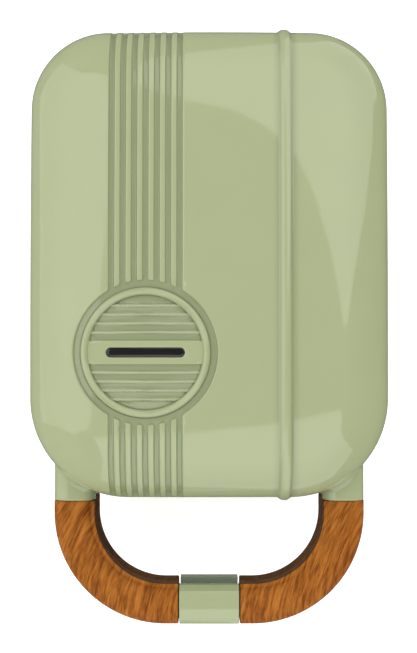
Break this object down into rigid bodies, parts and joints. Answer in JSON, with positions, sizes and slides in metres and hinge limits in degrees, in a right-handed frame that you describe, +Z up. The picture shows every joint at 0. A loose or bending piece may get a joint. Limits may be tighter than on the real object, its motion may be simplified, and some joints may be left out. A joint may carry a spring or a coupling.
{
  "type": "sandwich toaster",
  "caption": "Hinged sandwich toaster with a round-cornered domed lid over a base, diagonal pocket plates and a U-shaped wood-gripped handle with a thumb latch.",
  "frame": {"origin": "centre of the overall footprint, on the surface the feet stand on", "axes": "+Z up, +Y towards the hinge at the back, the handle points to -Y, +X to the right seen from the handle"},
  "size_m": [0.155, 0.26, 0.0891],
  "materials": {
    "green_plastic": "high-gloss moulded plastic in a pale sage green",
    "keeper_plastic": "gloss moulded plastic, darker green",
    "black_plastic": "fine-textured moulded plastic",
    "smoked_plastic": "smoked clear lens, polished",
    "lamp_plastic": "tinted neon lamp caps",
    "circuit_board": "printed board with solder resist",
    "nonstick_coating": "cast aluminium with a speckled black non-stick coating",
    "element_tube": "heat-tinted steel tube",
    "zinc_steel": "zinc-plated steel",
    "polished_steel": "ground and polished steel",
    "aluminium_sheet": "mill-finish aluminised sheet",
    "grip_wood": "lacquered wood with a diagonal grain, orange brown",
    "foot_rubber": "matt black rubber",
    "ceramic": "unglazed steatite",
    "wire_sleeve": "woven glass-fibre and silicone sleeve"
  },
  "bodies": {
    "base": {"base_shell": "green_plastic", "lower_plate": "nonstick_coating", "lower_element": "element_tube", "lower_element_clamp": "zinc_steel", "lower_heat_shield": "aluminium_sheet", "lower_plate_screws": "zinc_steel", "base_hinge_leaf": "zinc_steel", "base_hinge_screws": "zinc_steel", "hinge_pin": "polished_steel", "lower_handle_core": "keeper_plastic", "grip_lower_left": "grip_wood", "grip_lower_right": "grip_wood", "lower_handle_screws": "zinc_steel", "feet": "foot_rubber", "cord_bushing": "black_plastic", "terminal_block": "ceramic", "thermostat": "ceramic", "thermal_fuse": "ceramic", "base_wiring": "wire_sleeve", "hinge_lead": "wire_sleeve"},
    "lid": {"lid_shell": "green_plastic", "indicator_bezel": "green_plastic", "indicator_window": "smoked_plastic", "indicator_board": "circuit_board", "indicator_lamps": "lamp_plastic", "upper_plate": "nonstick_coating", "upper_element": "element_tube", "upper_element_clamp": "zinc_steel", "upper_heat_shield": "aluminium_sheet", "upper_plate_screws": "zinc_steel", "lid_hinge_leaf": "zinc_steel", "lid_hinge_screws": "zinc_steel", "upper_handle_core": "black_plastic", "grip_upper_left": "grip_wood", "grip_upper_right": "grip_wood", "upper_handle_screws": "zinc_steel", "latch_pin": "polished_steel", "latch_spring": "polished_steel", "lid_wiring": "wire_sleeve"},
    "latch": {"latch_clip": "green_plastic"}
  },
  "joints": [
    {"name": "lid_hinge", "type": "hinge", "parent": "base", "child": "lid", "pos_m": [0, 0.1232, 0.046], "axis": [-1, 0, 0], "range_deg": [0, 95], "deforming": ["hinge_lead"]},
    {"name": "latch_pivot", "type": "hinge", "parent": "lid", "child": "latch", "pos_m": [0, -0.1248, 0.051], "axis": [-1, 0, 0], "range_deg": [0, 13], "stiffness_Nm_per_rad": 0.06, "springref_deg": -11.46, "deforming": ["latch_spring"]}
  ]
}
